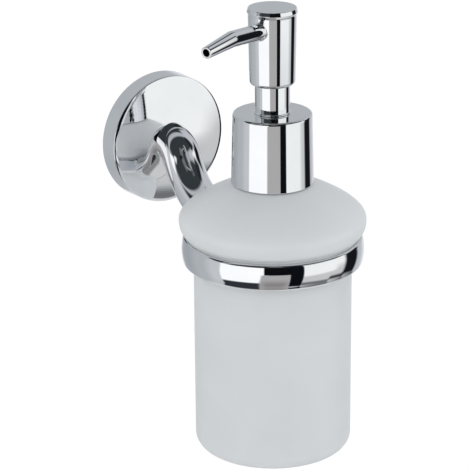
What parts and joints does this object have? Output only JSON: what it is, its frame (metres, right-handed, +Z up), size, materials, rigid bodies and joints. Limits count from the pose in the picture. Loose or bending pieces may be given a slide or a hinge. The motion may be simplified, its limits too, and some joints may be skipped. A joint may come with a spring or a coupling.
{
  "type": "wall mounted soap dispenser",
  "caption": "Wall mounted soap dispenser: a round rosette with a curved arm and ring holds a frosted glass bottle with a press-down lotion pump and a side nozzle.",
  "frame": {"origin": "centre of the rosette's back, on the wall plane", "axes": "+Y into the wall (the dispenser stands out towards -Y), +Z up along the bottle's and pump's axis, +X to the right as seen from the room"},
  "size_m": [0.0782, 0.1166, 0.1793],
  "materials": {
    "chrome": "polished",
    "steel": "machined",
    "frosted_glass": "frosted",
    "cushion_clear": "soft clear",
    "tube_clear": "translucent",
    "white_plastic": "moulded",
    "seal_grey": "moulded"
  },
  "bodies": {
    "wall_holder": {"rosette_cover": "chrome", "wall_bracket": "steel", "grub_screw": "steel", "arm": "chrome", "arm_screw": "steel", "arm_washer": "steel", "holder_ring": "chrome", "ring_screw": "steel"},
    "cushion": {"ring_cushion": "cushion_clear"},
    "bottle": {"bottle": "frosted_glass"},
    "pump": {"pump_housing": "white_plastic", "neck_gasket": "seal_grey", "dip_tube": "tube_clear", "return_spring": "steel", "stem_guide": "white_plastic"},
    "inlet_valve": {"inlet_ball": "steel"},
    "collar": {"collar_shell": "chrome", "screw_cap": "white_plastic", "guide_sleeve": "chrome"},
    "piston": {"piston": "seal_grey"},
    "head": {"head_shell": "chrome", "head_insert": "white_plastic", "nozzle": "chrome", "pump_stem": "white_plastic"},
    "outlet_valve": {"outlet_ball": "steel"}
  },
  "joints": [
    {"name": "bottle_turn", "type": "hinge", "parent": "wall_holder", "child": "cushion", "pos_m": [0, -0.08, 0], "axis": [0, 0, 1], "continuous": true},
    {"name": "bottle_lift", "type": "slide", "parent": "cushion", "child": "bottle", "axis": [0, 0, 1], "range_m": [0, 0.095]},
    {"name": "cap_lift", "type": "slide", "parent": "bottle", "child": "pump", "axis": [0, 0, 1], "range_m": [0, 0.00505]},
    {"name": "cap_turn", "type": "hinge", "parent": "pump", "child": "collar", "pos_m": [0, -0.08, 0], "axis": [0, 0, 1], "range_deg": [0, 430]},
    {"name": "press", "type": "slide", "parent": "pump", "child": "piston", "axis": [0, 0, -1], "range_m": [0, 0.0105], "stiffness_N_per_m": 950, "springref_m": -0.0084, "deforming": ["return_spring"]},
    {"name": "head_swivel", "type": "hinge", "parent": "piston", "child": "head", "pos_m": [0, -0.08, 0], "axis": [0, 0, 1], "continuous": true},
    {"name": "inlet_valve_lift", "type": "slide", "parent": "pump", "child": "inlet_valve", "axis": [0, 0, 1], "range_m": [0, 0.0015]},
    {"name": "outlet_valve_lift", "type": "slide", "parent": "head", "child": "outlet_valve", "axis": [0, 0, 1], "range_m": [0, 0.001]}
  ],
  "couplings": [
    {"joint": "cap_turn", "follows": "cap_lift", "rad_per_m": 1484.3}
  ]
}
